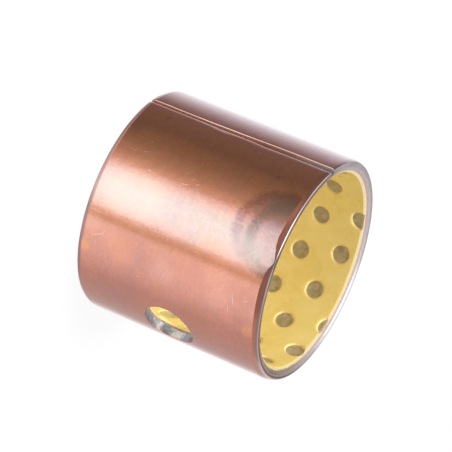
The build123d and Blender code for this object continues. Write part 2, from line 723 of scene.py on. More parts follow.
def end_grime(tree, coordinates):
    """Brown grime on one side of the two end faces, and none in the middle of the bush."""
    side = map_range(tree, facing(tree, coordinates, (-0.5, -0.8, 0.0)), -0.003, 0.004)
    return math(tree, "MULTIPLY", side, at_end(tree, coordinates))


print("end band:", round(length / 2 - end_band / MILLIMETRE, 2), "mm at each end")


# %% [markdown]
# The marks that make the plating look used are lists. A stain is a place on the strip, its size
# and its tint; a scratch is a place, an angle and a size. The first two stains are no marks but
# painted highlight and painted shade on the copper. They are laid over each other in the
# order of the list, as paint would be.

# %% List the stains and scratches
# Each stain is (turn, height, radius, core, width, raggedness, part, tint).
plating_stains_and_highlights = [
    # The first two are painted light: paler, whiter copper where the highlight band is brighter, and
    # redder, darker copper where it is duller.
    (-66, 6.5, 0.0, 2.5, 7.0, 2.4, 0.50, (0.92, 0.47, 0.345)),
    (-56, 21.0, 0.0, 0.5, 3.5, 2.2, 0.45, (0.84, 0.33, 0.20)),
    (-74, 29.5, 0.0, 4.5, 7.6, 1.6, 0.60, (0.47, 0.155, 0.137)),
    (-74, 28.2, 5.6, 0.2, 1.3, 1.8, 0.66, (0.35, 0.135, 0.125)),
    (-71, 30.3, 5.3, 0.3, 1.4, 1.8, 0.78, (0.21, 0.12, 0.08)),
    (-60, 26.9, 0.0, 0.5, 1.9, 1.8, 0.55, (0.33, 0.24, 0.17)),
    (-84, 28.0, 0.0, 1.4, 4.6, 2.0, 0.80, (0.42, 0.285, 0.29)),
    (-87, 26.6, 0.0, 0.2, 2.2, 2.4, 0.40, (0.30, 0.24, 0.24)),
    (-82, 24.2, 0.0, 0.4, 1.8, 2.2, 0.45, (0.38, 0.24, 0.22)),
    (-58, 25.2, 0.0, 1.2, 5.2, 2.4, 0.62, (0.83, 0.37, 0.29)),
    (-101, 24.3, 0.0, 0.1, 0.6, 0.8, 0.60, (0.32, 0.22, 0.22)),
    (-111, 4.6, 0.0, 0.1, 0.7, 0.8, 0.45, (0.34, 0.20, 0.20)),
    (-98, 1.4, 0.0, 0.4, 2.2, 1.6, 0.45, (0.42, 0.25, 0.30)),
    (-32, 1.1, 0.0, 0.5, 1.1, 0.6, 0.75, (0.98, 0.44, 0.20)),
    (-22, 28.4, 0.0, 0.7, 1.2, 0.6, 0.65, (0.98, 0.46, 0.22)),
    (-38, 7.0, 0.0, 1.0, 3.4, 2.0, 0.45, (0.92, 0.40, 0.23)),
    (-35, 13.8, 0.0, 1.0, 3.0, 2.4, 0.40, (0.90, 0.48, 0.40)),
    (-41, 18.5, 0.0, 1.0, 3.4, 2.4, 0.35, (0.86, 0.34, 0.26)),
    (-34, 10.0, 0.0, 0.4, 2.6, 2.2, 0.40, (0.60, 0.31, 0.27)),
    (-14, 7.0, 0.0, 1.5, 5.5, 2.4, 0.40, (0.62, 0.32, 0.30)),
    (-18, 19.5, 0.0, 0.6, 4.0, 2.4, 0.35, (0.64, 0.33, 0.25)),
    (-44, 22.5, 0.0, 0.6, 3.6, 2.4, 0.50, (0.98, 0.46, 0.33)),
    (-33, 23.0, 0.0, 0.6, 2.6, 2.4, 0.40, (0.95, 0.48, 0.38)),
    (-46, 1.4, 0.0, 0.8, 2.6, 1.6, 0.60, (0.98, 0.52, 0.40)),
    (-44, 4.6, 0.0, 0.5, 2.8, 2.0, 0.45, (0.96, 0.46, 0.34)),
    (-40, 9.8, 0.0, 0.5, 2.6, 2.4, 0.40, (0.68, 0.31, 0.25)),
    (-36, 11.5, 0.0, 0.5, 2.4, 2.4, 0.35, (0.64, 0.29, 0.25)),
    (-38, 27.6, 0.0, 0.8, 2.2, 2.0, 0.42, (0.66, 0.30, 0.24)),
    (-28, 27.2, 0.0, 0.6, 2.2, 2.0, 0.45, (0.62, 0.28, 0.23)),
    (-24, 10.0, 0.0, 0.6, 3.0, 2.4, 0.35, (0.66, 0.29, 0.23)),
]
lip_stain = (-61.5, 30.1, 0.0, 0.3, 1.0, 0.3, 0.8, (0.40, 0.18, 0.13))
# Each scratch is (turn, height, angle, length, width).
plating_scratches = [
    (-40, 2.8, 62, 2.2, 0.11), (-42, 3.7, 30, 1.2, 0.10), (-86, 3.0, 88, 2.0, 0.06),
    (-87, 5.0, 80, 0.6, 0.12), (-93, 5.0, 0, 0.5, 0.12), (-79, 12.8, 76, 1.4, 0.07),
    (-83, 13.6, 40, 0.9, 0.09), (-85, 12.4, 10, 1.1, 0.07), (-81, 14.6, 60, 0.8, 0.08),
    (-36, 25.5, 165, 2.6, 0.10), (-30, 25.0, 172, 1.6, 0.08), (-38, 27.6, 60, 0.8, 0.07),
    (-79, 7.0, 100, 0.7, 0.12), (-27, 10.2, 62, 0.8, 0.07), (-34, 14.3, 6, 1.0, 0.06),
]


def place_on_strip(turn, height):
    """A point of the flat strip, at an angle from the grease hole and a height."""
    return radians((grease_hole_angle + turn - seam_angle) % 360) * outside_radius, height, 0


def add_stains(tree, flat, colour, stains):
    """Lay stains over a colour, one after the other."""
    for turn, height, radius, core, width, ragged, part, tint in stains:
        spot = use_group(tree, stain_group, Vector=flat, Centre=place_on_strip(turn, height),
                         Radius=radius, Core=core, Width=width, Raggedness=ragged)
        colour = tinted(tree, colour, tint, spot["Mask"], part)
    return colour


def add_strokes(tree, flat, strokes):
    """One mask of all the short scratches."""
    total = 0.0
    for turn, height, angle, long, wide in strokes:
        stroke = use_group(tree, stroke_group, Vector=flat, Middle=place_on_strip(turn, height),
                           Turn=radians(angle), Length=long, Width=wide)
        total = math(tree, "MAXIMUM", total, stroke["Mask"])
    return total


print(len(plating_stains_and_highlights), "stains and", len(plating_scratches), "scratches")


# %% Colour the plating and its edges
lip_band = (14.56, 14.72)
smudged_seam = (23.0, 27.5)
shaded_seam_height = 21.0
struck_seam_height = 12.0


def plating_colour(tree, flat, clouds, grain, lines):
    """Two coppers in broad fields, with clouds, patches, grain, lines and streaks over them."""
    broad = use_group(tree, mottle_group, Vector=flat, Size=8.0)
    patches = use_group(tree, mottle_group, Vector=flat, Size=1.2, Low=0.40, High=0.62)
    pulled = add_node(tree, "ShaderNodeMapping", flat, Scale=(0.22, 1.0, 1.0))["Vector"]
    streaks = use_group(tree, mottle_group, Vector=pulled, Size=0.5)
    colour = ramp(tree, broad["Mask"], (0.0, 0.83, 0.385, 0.24), (1.0, 0.84, 0.375, 0.305))
    for field, part, tint in (
        (clouds, 0.7, (0.73, 0.36, 0.295)),
        (patches, 0.45, (0.95, 0.41, 0.32)),
        (grain, 0.44, (0.655, 0.315, 0.235)),
        (lines, 0.2, (0.90, 0.50, 0.38)),
        (streaks, 0.30, (0.70, 0.31, 0.24)),
    ):
        colour = tinted(tree, colour, tint, field["Mask"], part)
    return colour


def edge_colour(tree, coordinates, up, colour):
    """The lead-in, and the lip between it and the end face, with a painted highlight on one side of
    the lip.
    """
    at_lip = map_range(tree, distance_to(tree, up, length / 2), *lip_band)
    # Painted highlight: the lip is painted paler on the side where it catches the light.
    lip_highlight_side = map_range(tree, facing(tree, coordinates, (-0.77, -0.64, 0.0)), 0.0118, 0.0096)
    colour = tinted(tree, colour, (0.80, 0.36, 0.235), attribute(tree, "lead"), 0.85)
    colour = tinted(tree, colour, (0.52, 0.35, 0.30), at_lip)
    return tinted(tree, colour, (0.74, 0.50, 0.44), math(tree, "MULTIPLY", at_lip, lip_highlight_side))


def seam_colour(tree, up, colour, groove, clouds):
    """The seam: a painted highlight along the rolled corner, strongest where it was struck, and worn
    dirty copper below it, painted darker round 21 mm as painted shade.
    """
    worn_and_shaded = ramp(tree, clouds["Mask"], (0.0, 0.48, 0.185, 0.115), (1.0, 0.42, 0.20, 0.15))
    worn_and_shaded = tinted(tree, worn_and_shaded, (0.30, 0.22, 0.20), map_range(tree, up, *smudged_seam))
    # Painted shade: the worn copper in the groove is darker round 21 mm up.
    shaded = map_range(tree, distance_to(tree, up, shaded_seam_height), 1.5, 4.5, 0.5, 0.0)
    worn_and_shaded = tinted(tree, worn_and_shaded, (0.20, 0.08, 0.05), shaded)
    # Painted highlight: a bright line along the edge of the rolled corner, stronger near 12 mm up.
    struck = map_range(tree, distance_to(tree, up, struck_seam_height), 2.0, 6.0, 0.85, 0.15)
    seam_highlight = math(tree, "MULTIPLY", map_range(tree, groove, 0.001, 0.03), struck)
    colour = tinted(tree, colour, (1.0, 0.62, 0.48), seam_highlight)
    return mix_colour(tree, groove, colour, worn_and_shaded)


print("plating, edge and seam colours are ready")


# %% Colour the bare steel
hole_band = 10.0
end_edge_highlight_reach = (0.01616, 0.01606)
end_face_highlight_reach = (0.0138, 0.0162)


def bare_steel_colour(tree, coordinates, up, punched, grain):
    """Sheared grey steel on the end faces, with a painted highlight at their inner edge and on one
    side, and torn, streaky steel in the punched hole, with painted highlights and reflections in
    bands.
    """
    sheared_and_highlit = ramp(tree, grain["Mask"], (0.0, 0.44, 0.41, 0.42), (1.0, 0.60, 0.56, 0.57))
    sheared_and_highlit = tinted(tree, sheared_and_highlit, (0.21, 0.145, 0.115), end_grime(tree, coordinates))
    # Painted highlight: a paler line at the inner edge of the end face.
    end_edge_highlight = map_range(tree, round_reach(tree, coordinates), *end_edge_highlight_reach)
    sheared_and_highlit = tinted(tree, sheared_and_highlit, (0.66, 0.58, 0.54), end_edge_highlight, 0.7)
    # Painted highlight: the end faces are painted near white on one side.
    end_face_highlight = facing(tree, coordinates, (1.0, 0.2, 0.0))
    end_face_highlight = map_range(tree, end_face_highlight, *end_face_highlight_reach)
    sheared_and_highlit = tinted(tree, sheared_and_highlit, (0.95, 0.93, 0.93), end_face_highlight)
    pitted = noise_value(tree, coordinates, 2600, 3.0, 0.6)
    pitted = ramp(tree, pitted, (0.35, 0.66, 0.64, 0.67), (0.60, 1.0, 1.0, 1.0))
    sheared_and_highlit = mix_colour(tree, 0.4, sheared_and_highlit, pitted, "MULTIPLY")
    # Painted highlights and reflections: the ramp lays white, blue-grey and dark bands up the hole
    # wall, and the noise gives them torn streaks.
    wall_band_place = noise_value(tree, coordinates, 900, 4.0, 0.65)
    wall_band_place = map_range(tree, math(tree, "MULTIPLY_ADD", wall_band_place, 2.4, up), 11.4, 20.0)
    torn_and_highlit = ramp(tree, wall_band_place, (0.06, 0.22, 0.21, 0.23), (0.16, 0.80, 0.76, 0.80),
                (0.28, 0.20, 0.22, 0.26), (0.42, 0.50, 0.54, 0.62), (0.54, 0.95, 0.96, 1.0),
                (0.70, 0.95, 0.96, 1.0), (0.82, 0.50, 0.58, 0.70), (0.98, 0.20, 0.19, 0.21))
    torn_and_highlit = mix_colour(tree, 0.8, torn_and_highlit, pitted, "MULTIPLY")
    return mix_colour(tree, punched, sheared_and_highlit, torn_and_highlit)


print("torn steel lies within", hole_band, "mm of mid length, sheared steel outside it")


# %% Mix the copper
def build_copper():
    """Copper plating with its marks, and bare steel where it was cut."""
    material, tree, shader, coordinates = new_material("copper_plating")
    strip = use_group(tree, strip_group, Object=coordinates)
    flat, up = strip["Flat"], strip["Up"]
    clouds = use_group(tree, mottle_group, Vector=flat, Size=2.6, Low=0.36, High=0.64)
    grain = use_group(tree, mottle_group, Vector=flat, Size=0.45, Low=0.3, High=0.7)
    lines = use_group(tree, line_group, Vector=flat, Spacing=0.22, Length=7.0, Amount=0.36)
    groove, bare = attribute(tree, "groove"), attribute(tree, "cut")
    punched = math(tree, "LESS_THAN", distance_to(tree, up, length / 2), hole_band)
    scratches = add_strokes(tree, flat, plating_scratches)
    colour = plating_colour(tree, flat, clouds, grain, lines)
    colour = add_stains(tree, flat, colour, plating_stains_and_highlights)
    colour = tinted(tree, colour, (1.0, 0.72, 0.58), scratches, 0.65)
    colour = edge_colour(tree, coordinates, up, colour)
    colour = add_stains(tree, flat, colour, [lip_stain])
    colour = seam_colour(tree, up, colour, groove, clouds)
    steel = bare_steel_colour(tree, coordinates, up, punched, grain)
    feed(tree, shader["Base Color"], mix_colour(tree, bare, colour, steel))
    dulled = math(tree, "MULTIPLY", groove, math(tree, "SUBTRACT", 1.0, bare))
    metal = map_range(tree, dulled, 0.0, 1.0, 1.0, 0.25)
    outside_hole = math(tree, "SUBTRACT", 1.0, math(tree, "MULTIPLY", punched, bare))
    feed(tree, shader["Metallic"], math(tree, "MULTIPLY", metal, outside_hole))
    roughness = map_range(tree, grain["Height"], 0.2, 0.8, 0.09, 0.16)
    marked = math(tree, "MAXIMUM", bare, groove)
    feed(tree, shader["Roughness"], math(tree, "MULTIPLY_ADD", marked, 0.22, roughness))
    feed(tree, shader["Coat Weight"], map_range(tree, bare, 0.0, 1.0, 0.8, 0.0))
    shader["Coat Roughness"].default_value = 0.2
    height = math(tree, "MULTIPLY_ADD", lines["Mask"], -0.12, clouds["Height"])
    height = math(tree, "MULTIPLY_ADD", scratches, 0.4, height)
    feed(tree, shader["Normal"], bump(tree, height, 0.072, 0.0004))
    return material


copper = build_copper()
print("material:", copper.name, len(copper.node_tree.nodes), "nodes")

# %% [markdown]
# ## The steel backing
#
# The backing carries the load. Its outside has the lead-ins at both ends and corners rolled over
# at the seam, so the butt joint shows as a groove. Its mesh replaces the solid of the same form.

# %% Wrap the steel backing
def mirror_rows(start, radius):
    """Rows from the bottom end to the top end: a foot, the straight body, and the foot again."""
    rows = start + [(radius, height) for height in heights]
    return rows + [(r, length - z) for r, z in reversed(start)]


def straight_foot(radius, rows):
    """Rows straight up from the bevel at a radius, to the height where the foot ends."""
    start = bevel_height(radius)
    rise = (foot_top - start) / (rows - 1)
    return [(radius, start + rise * row) for row in range(rows)]


outside_rows = mirror_rows(foot, outside_radius)
steel_foot = [(bore_radius + bore_bevel_width, 0.0)]
steel_foot += straight_foot(steel_inner_radius, len(foot) - 1)
steel_inside_rows = mirror_rows(steel_foot, steel_inner_radius)
steel_shape = bmesh.new()
add_layer(steel_shape, outside_rows, steel_inside_rows, dressed=True)
backing = finish_mesh(steel_shape, "copper_plated_backing", copper)


# %% [markdown]
# ## The sintered bronze
#
# Bronze powder is sintered on the steel before the plastic is rolled into it. Only its edge
# shows, as a thin grainy ring at each end, in the seam and in the grease hole.

# %% Mix the bronze and wrap it
def build_bronze():
    """Sintered bronze: packed grains, dark between them."""
    material, tree, shader, coordinates = new_material("sintered_bronze")
    grains = add_node(tree, "ShaderNodeTexVoronoi", coordinates, Scale=5500)["Distance"]
    speckle = noise_value(tree, coordinates, 2600)
    colour = ramp(tree, grains, (0.0, 0.66, 0.50, 0.44), (0.8, 0.34, 0.25, 0.21))
    colour = tinted(tree, colour, (0.50, 0.41, 0.37), speckle)
    colour = tinted(tree, colour, (0.27, 0.22, 0.16), end_grime(tree, coordinates))
    feed(tree, shader["Base Color"], colour)
    shader["Metallic"].default_value = 0.6
    feed(tree, shader["Roughness"], map_range(tree, speckle, 0.3, 0.7, 0.45, 0.75))
    feed(tree, shader["Normal"], bump(tree, grains, 0.4, 0.0001))
    return material


bronze = build_bronze()
bronze_rows = [mirror_rows(straight_foot(radius, len(foot)), radius)
               for radius in (steel_inner_radius, bronze_inner_radius)]
bronze_shape = bmesh.new()
add_layer(bronze_shape, *bronze_rows, dressed=False)
bronze_layer = finish_mesh(bronze_shape, "bronze_layer", bronze)


# %% [markdown]
# ## The acetal lining and its grease pockets
#
# The pockets are pressed into the flat strip in a pattern of equal triangles, turned a little
# against the strip's edge. That is a rule, so Geometry Nodes lay it out: a grid of points is
# sheared into the pattern, and each point gets one hexagon of lining, with a pocket or plain.
# The hexagons fit edge to edge, so the joined result is a single sheet.

# %% Model one hexagon of the lining
side_steps = 7
pocket_rings = [
    (1.85, 0.0), (1.68, 0.008), (1.56, 0.03), (1.48, 0.065), (1.42, 0.12), (1.37, 0.18),
    (1.31, 0.225), (1.20, 0.248), (0.82, 0.25), (0.42, 0.25),
]
plain_rings = [(1.85, 0.0), (0.8, 0.0)]


def hexagon_mesh(name, rings):
    """A hexagon as wide as the pattern's pitch, with rings of faces down to its middle."""
    bm = bmesh.new()
    depth_mark = bm.verts.layers.float.new("pocket")
    zone_mark = bm.verts.layers.float.new("zone")
    around = range(6 * side_steps)
    directions = [radians(30 + 360 * at / len(around)) for at in around]
    directions = [Vector((cos(angle), sin(angle), 0)) for angle in directions]
    corners = [directions[side * side_steps] * pocket_pitch / sqrt(3) for side in range(6)]
    border = []
    for at in around:
        side, step = divmod(at, side_steps)
        border.append(corners[side].lerp(corners[(side + 1) % 6], step / side_steps))
    loops = []
    for towards_border in (1.0, 0.62, 0.28, 0.0):
        loops.append([bm.verts.new((directions[at] * rings[0][0]).lerp(border[at], towards_border))
                      for at in around])
    for radius, depth in rings[1:]:
        loop = []
        for direction in directions:
            swirl = Vector((direction.x * 1.3, direction.y * 1.3, 4.2))
            point = direction * radius * (1 + 0.012 * noise.noise(swirl))
            vertex = bm.verts.new((point.x, point.y, depth))
            vertex[depth_mark] = min(1.0, depth / pocket_depth)
            loop.append(vertex)
        loops.append(loop)
    middle = bm.verts.new((0, 0, rings[-1][1]))
    middle[depth_mark] = min(1.0, rings[-1][1] / pocket_depth)
    for vertex in sum(loops[3:], [middle]):
        vertex[zone_mark] = 1.0
    for outer, inner in zip(loops, loops[1:]):
        bridge(bm, outer, inner)
    for at in around:
        bm.faces.new((loops[-1][at], loops[-1][(at + 1) % len(around)], middle))
    return bpy.data.objects.new(name, plain_mesh(bm, name))


pocket_hexagon = hexagon_mesh("pocket_hexagon", pocket_rings)
plain_hexagon = hexagon_mesh("plain_hexagon", plain_rings)
print("faces in a hexagon:", len(pocket_hexagon.data.polygons))


# %% [markdown]
# The lining itself is a satin plastic, pale yellow. The floors of the pockets are darker: the
# film there is thin, and grease and bronze dust sit in it. The pocket attribute of the mesh
# says how deep a point lies, so the colour changes exactly at the pocket's edge.

# %% Mix the acetal
lit_patch_centre = (11.7, -9.3, 9.7)
lit_patch_reach = (7.5, 4.5)
pocket_floor = (0.70, 0.96)
bevel_reach = (0.01501, 0.01506)
smear_reach = (0.01570, 0.01580)


def build_acetal():
    """Satin yellow acetal, with olive, mottled floors in its pockets, and a painted pool of light on
    the bore wall.
    """
    material, tree, shader, coordinates = new_material("yellow_acetal")
    point = add_node(tree, "ShaderNodeMapping", coordinates, Scale=TO_MILLIMETRES)["Vector"]
    cloud = use_group(tree, mottle_group, Vector=point, Size=5.0, Low=0.3, High=0.7)
    fleck = use_group(tree, mottle_group, Vector=point, Size=0.9, Low=0.3, High=0.7)
    into = map_range(tree, attribute(tree, "pocket"), *pocket_floor)
    # Painted light: the lining and its pocket floors are paler round one spot of the bore wall, seen
    # through the grease hole.
    away = vector_math(tree, "DISTANCE", point, lit_patch_centre)["Value"]
    painted_light_patch = map_range(tree, away, *lit_patch_reach)
    plain = ramp(tree, cloud["Mask"], (0.0, 0.86, 0.67, 0.22), (1.0, 0.91, 0.74, 0.29))
    plain = tinted(tree, plain, (0.93, 0.76, 0.29), painted_light_patch)
    floor = ramp(tree, fleck["Mask"], (0.0, 0.34, 0.26, 0.15), (1.0, 0.50, 0.415, 0.255))
    floor = tinted(tree, floor, (0.66, 0.56, 0.30), painted_light_patch)
    colour = mix_colour(tree, into, plain, floor)
    radius = round_reach(tree, coordinates)
    near_end = at_end(tree, coordinates)
    sliced = math(tree, "MULTIPLY", near_end, map_range(tree, radius, *bevel_reach))
    colour = tinted(tree, colour, (0.56, 0.445, 0.225), sliced)
    ragged = math(tree, "MULTIPLY_ADD", noise_value(tree, point, 3.2, 4.0, 0.7), 0.0009, radius)
    smeared = math(tree, "MULTIPLY", near_end, map_range(tree, ragged, *smear_reach))
    stuck = tinted(tree, (0.58, 0.47, 0.40, 1), (0.24, 0.19, 0.13), end_grime(tree, coordinates))
    feed(tree, shader["Base Color"], mix_colour(tree, smeared, colour, stuck))
    roughness = map_range(tree, cloud["Height"], 0.3, 0.7, 0.25, 0.36)
    feed(tree, shader["Roughness"], math(tree, "MULTIPLY_ADD", into, 0.2, roughness))
    depth = math(tree, "MULTIPLY_ADD", into, 0.55, 0.05)
    height = math(tree, "MULTIPLY", fleck["Height"], depth)
    feed(tree, shader["Normal"], bump(tree, height, 0.2, 0.0002))
    return material


acetal = build_acetal()
print("material:", acetal.name)


# %% [markdown]
# The tree below starts with a square grid one unit apart. Each point moves to where its row and
# place in the row put it, points off the strip are dropped, and each hexagon gets one of six
# turns by chance. Realize Instances then makes the copies real, and near points are welded.

# %% Start the tree of the pattern
pattern_inputs = {
    "Geometry": "Geometry", "Pocket": "Object", "Plain": "Object", "Pitch": "Float",
    "Row Turn": "Float", "First Along": "Float", "First Up": "Float", "Strip Width": "Float",
    "Strip Length": "Float", "Seed": "Int", "Material": "Material",
}
grid_reach = 24
spare_margin = 4.0
weld_distance = 0.01


def new_pattern_tree():
    """An empty tree with the inputs of the pattern, and the identifier of each."""
    tree = bpy.data.node_groups.new("pocket_pattern", "GeometryNodeTree")
    identifiers = {}
    for title, kind in pattern_inputs.items():
        socket = tree.interface.new_socket(title, in_out="INPUT", socket_type="NodeSocket" + kind)
        identifiers[title] = socket.identifier
    tree.interface.new_socket("Geometry", in_out="OUTPUT", socket_type="NodeSocketGeometry")
    return tree, identifiers


def compare(tree, operation, first, second):
    """A Compare node for numbers, as a socket."""
    settings = {"data_type": "FLOAT", "operation": operation}
    return add_node(tree, "FunctionNodeCompare", settings=settings, A=first, B=second)["Result"]


def logic(tree, operation, *values):
    """A Boolean Math node, as a socket."""
    return add_node(tree, "FunctionNodeBooleanMath", *values, settings={"operation": operation})[0]


def within(tree, given, where, margin):
    """Whether a point lies on the strip, or no further than a margin off it."""
    inside = []
    for place_on_axis, size in ((where["X"], "Strip Width"), (where["Y"], "Strip Length")):
        end = math(tree, "ADD", given[size], margin)
        inside.append(logic(tree, "AND", compare(tree, "GREATER_THAN", place_on_axis, -margin),
                            compare(tree, "LESS_THAN", place_on_axis, end)))
    return logic(tree, "AND", *inside)


print("inputs of the pattern:", list(pattern_inputs))


# %% Lay out the pattern with Geometry Nodes
def sheared_grid(tree, given, position):
    """Points one pitch apart in rows that climb the strip, a third of a turn between two rows."""
    step = split(tree, position)
    next_turn = math(tree, "ADD", given["Row Turn"], pi / 3)
    places = []
    for wave, first in (("COSINE", "First Along"), ("SINE", "First Up")):
        along_row = math(tree, "MULTIPLY", step["X"], math(tree, wave, given["Row Turn"]))
        to_next = math(tree, "MULTIPLY", step["Y"], math(tree, wave, next_turn))
        moved = math(tree, "ADD", along_row, to_next)
        moved = math(tree, "MULTIPLY", moved, given["Pitch"])
        places.append(math(tree, "ADD", moved, given[first]))
    size, count = 2.0 * grid_reach, 2 * grid_reach + 1
    grid = add_node(tree, "GeometryNodeMeshGrid", size, size, count, count)["Mesh"]
    return add_node(tree, "GeometryNodeSetPosition", grid, Position=join(tree, *places))[0]


def build_pattern_tree():
    """Hexagons on a sheared grid: pockets whose middle is on the strip, plain ones outside it."""
    tree, identifiers = new_pattern_tree()
    given = tree.nodes.new("NodeGroupInput").outputs
    position = add_node(tree, "GeometryNodeInputPosition")[0]
    where = split(tree, position)
    points = add_node(tree, "GeometryNodeMeshToPoints", sheared_grid(tree, given, position),
                      within(tree, given, where, spare_margin))[0]
    drawn = add_node(tree, "FunctionNodeRandomValue", settings={"data_type": "INT"}, Min=0, Max=5,
                     Seed=given["Seed"])["Value"]
    turn = math(tree, "MULTIPLY_ADD", drawn, pi / 3, given["Row Turn"])
    turning = join(tree, 0.0, 0.0, turn)
    pocketed = within(tree, given, where, 0.0)
    sheet = tree.nodes.new("GeometryNodeJoinGeometry")
    for title, chosen in (("Pocket", pocketed), ("Plain", logic(tree, "NOT", pocketed))):
        model = add_node(tree, "GeometryNodeObjectInfo", given[title])["Geometry"]
        placed = add_node(tree, "GeometryNodeInstanceOnPoints", points, chosen, model,
                          Rotation=turning)[0]
        tree.links.new(placed, sheet.inputs[0])
    real = add_node(tree, "GeometryNodeRealizeInstances", sheet.outputs[0])[0]
    welded = add_node(tree, "GeometryNodeMergeByDistance", real, Distance=weld_distance)[0]
    finished = add_node(tree, "GeometryNodeSetMaterial", welded, Material=given["Material"])[0]
    feed(tree, tree.nodes.new("NodeGroupOutput").inputs[0], finished)
    return tree, identifiers


def flat_lining():
    """The whole pattern as one plain flat mesh: x round the strip, y up it, z the depth."""
    tree, identifiers = build_pattern_tree()
    carrier = add_object("pattern_carrier", bpy.data.meshes.new("pattern_carrier"))
    modifier = carrier.modifiers.new("pattern", "NODES")
    modifier.node_group = tree
    values = {
        "Pocket": pocket_hexagon, "Plain": plain_hexagon, "Pitch": pocket_pitch,
        "Row Turn": radians(pocket_row_turn), "First Along": first_pocket_from_seam,
        "First Up": length - first_pocket_below_top, "Strip Width": strip_width,
        "Strip Length": length, "Seed": 7, "Material": acetal,
    }
    for title, value in values.items():
        modifier[identifiers[title]] = value
    evaluated = carrier.evaluated_get(bpy.context.evaluated_depsgraph_get())
    mesh = bpy.data.meshes.new_from_object(evaluated)
    for helper in (carrier, pocket_hexagon, plain_hexagon):
        bpy.data.objects.remove(helper)
    return mesh


lining_sheet = flat_lining()
print("flat lining:", len(lining_sheet.polygons), "faces")


# %% [markdown]
# ## Trim the sheet and roll it into the bore
#
# The flat sheet is cut like the real strip: square at its two long edges, which meet at the seam,
# bevelled at the ends of the bore, and punched for the grease hole. The punch is a ring of
# straight cuts, and each cut only splits the faces still inside it. Then a back is added, and the
# whole sheet is rolled: distance along the strip becomes an angle, and depth becomes radius.

# %% Trim and punch the flat sheet
cut_tolerance = 0.002
smallest_edge = 0.004
punch_steps = 72
punch_reach = grease_hole_radius + 0.8
bevel_rows = (0.50, 0.59, 0.65, 0.71, 0.82)
lining_foot = bevel_height(bronze_inner_radius)
hole_along = radians((grease_hole_angle - seam_angle) % 360) * bore_radius


def cut_sheet(bm, point, normal, clear=False, faces=None):
    """Cut the sheet along a line, and clear what lies on the normal's side if asked."""
    faces = bm.faces[:] if faces is None else faces
    parts = dict.fromkeys(faces)
    for face in faces:
        parts.update(dict.fromkeys([*face.edges, *face.verts]))
    return bmesh.ops.bisect_plane(bm, geom=list(parts), dist=cut_tolerance, plane_co=point,
                                  plane_no=normal, clear_outer=clear)["geom"]


def punch_sheet(bm):
    """Cut the grease hole in the flat sheet, with its edge where the round punch meets the bore."""
    corners = []
    for step in range(punch_steps):
        alpha = 2 * pi * step / punch_steps
        along = bore_radius * asin(grease_hole_radius * cos(alpha) / bore_radius)
        up = grease_hole_height + grease_hole_radius * sin(alpha)
        corners.append(Vector((hole_along + along, up, 0)))
    middle = Vector((hole_along, grease_hole_height, 0))
    inside = [face for face in bm.faces if (face.calc_center_median() - middle).length < punch_reach]
    for first, second in zip(corners, corners[1:] + corners[:1]):
        side = second - first
        outwards = Vector((side.y, -side.x, 0)).normalized()
        cut_parts = cut_sheet(bm, first, outwards, faces=inside)
        cut_faces = [part for part in cut_parts if isinstance(part, bmesh.types.BMFace)]
        pieces = dict.fromkeys(inside + cut_faces)
        inside = [face for face in pieces
                  if face.is_valid and (face.calc_center_median() - first).dot(outwards) < 0]
    bmesh.ops.delete(bm, geom=inside, context="FACES")


lining = bmesh.new()
lining.from_mesh(lining_sheet)
for point, normal in (
    ((seam_gap / 2, 0, 0), (-1, 0, 0)),
    ((strip_width - seam_gap / 2, 0, 0), (1, 0, 0)),
    ((0, lining_foot, 0), (0, -1, 0)),
    ((0, length - lining_foot, 0), (0, 1, 0)),
):
    cut_sheet(lining, point, normal, clear=True)
for step_in in bevel_rows:
    cut_sheet(lining, (0, step_in, 0), (0, 1, 0))
    cut_sheet(lining, (0, length - step_in, 0), (0, 1, 0))
punch_sheet(lining)
bmesh.ops.dissolve_degenerate(lining, dist=smallest_edge, edges=lining.edges[:])
print("trimmed lining:", len(lining.faces), "faces, hole at", round(hole_along, 2), "mm")


# %% Give it a back and roll it up
lining_thickness = bronze_inner_radius - bore_radius
bevel_softness = 0.06


def bevel_depth(up):
    """How deep the bevel of the bore lies at this height, with a soft start."""
    slope = (bore_bevel_length - min(up, length - up)) * bore_bevel_width / bore_bevel_length
    return 0.5 * (slope + sqrt(slope * slope + bevel_softness ** 2))


def behind(vertex, at_rim):
    """Where the back of a point of the sheet lies; the punch went straight through at the hole."""
    along, up, depth = vertex.co
    off_hole = hypot(along - hole_along, up - grease_hole_height)
    if at_rim and off_hole < grease_hole_radius + 0.3:
        reach = bore_radius * sin((along - hole_along) / bore_radius)
        along = hole_along + bore_radius * asin(reach / bronze_inner_radius)
    return along, up, lining_thickness


def add_back(bm):
    """Bevel the ends of the sheet, and close it with the bonded back and its borders."""
    zone_mark = bm.verts.layers.float["zone"]
    front_faces = bm.faces[:]
    borders = [edge for edge in bm.edges if edge.is_boundary]
    rim = {vertex for edge in borders for vertex in edge.verts}
    backs = {}
    for vertex in bm.verts[:]:
        if min(vertex.co.y, length - vertex.co.y) < lining_foot + 0.003:
            vertex.co.z = lining_thickness
            backs[vertex] = vertex
            continue
        vertex.co.z = min(max(vertex.co.z, bevel_depth(vertex.co.y)), lining_thickness)
        backs[vertex] = bm.verts.new(behind(vertex, vertex in rim))
        backs[vertex][zone_mark] = vertex[zone_mark]
    hidden = []
    for face in front_faces:
        fronts = list(reversed(face.verts))
        corners = [backs[vertex] for vertex in fronts]
        if corners != fronts:
            hidden.append(bm.faces.new(corners))
    for edge in borders:
        first, second = edge.verts
        corners = [first, second]
        corners += [back for back in (backs[second], backs[first]) if back not in corners]
        if len(corners) > 2:
            bm.faces.new(corners)
    under_pockets = [face for face in hidden if all(v[zone_mark] > 0.5 for v in face.verts)]
    bmesh.ops.dissolve_faces(bm, faces=under_pockets, use_verts=False)


